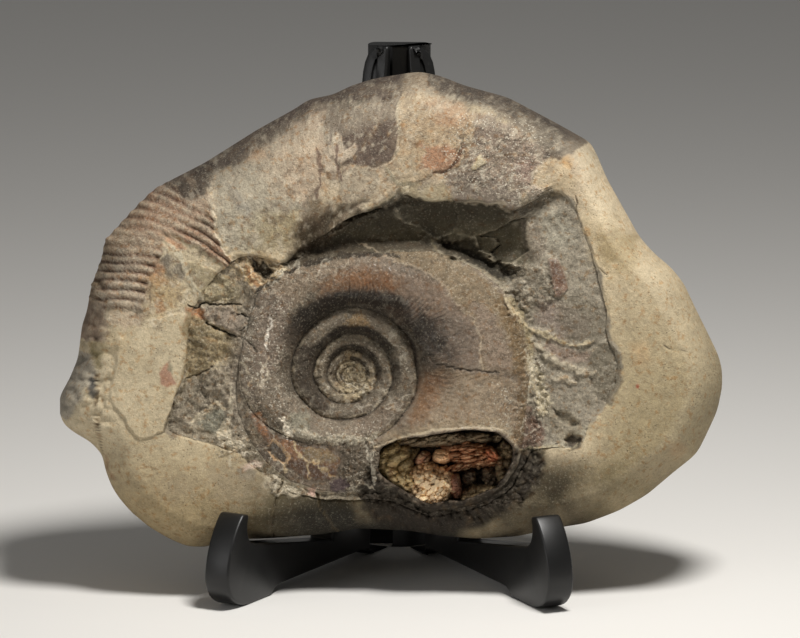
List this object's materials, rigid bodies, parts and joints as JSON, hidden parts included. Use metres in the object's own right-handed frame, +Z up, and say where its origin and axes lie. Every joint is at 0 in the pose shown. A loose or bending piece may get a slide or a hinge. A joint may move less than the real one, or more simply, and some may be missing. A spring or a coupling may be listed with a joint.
{
  "type": "ammonite fossil on a display easel",
  "caption": "Ammonite coil exposed in a rounded limestone nodule, leaning back upright in a black two-legged display easel.",
  "frame": {"origin": "on the floor under the middle of the whole, stone and easel together", "axes": "+Z up, the fossil's face looks towards -Y and leans back 12 degrees, +X to the right across the face"},
  "size_m": [0.2004, 0.0974, 0.157],
  "materials": {
    "fossil_stone": "matt broken limestone with brownish grey fossil shell and a cream rind",
    "rusty_crust": "crumbly iron-stained calcite, rough",
    "black_plastic": "black moulded plastic, satin, lightly scuffed"
  },
  "bodies": {
    "root": {"ammonite_nodule": "fossil_stone", "chamber_crust": "rusty_crust", "easel_frame_left": "black_plastic", "easel_frame_right": "black_plastic", "easel_post": "black_plastic"}
  },
  "joints": []
}
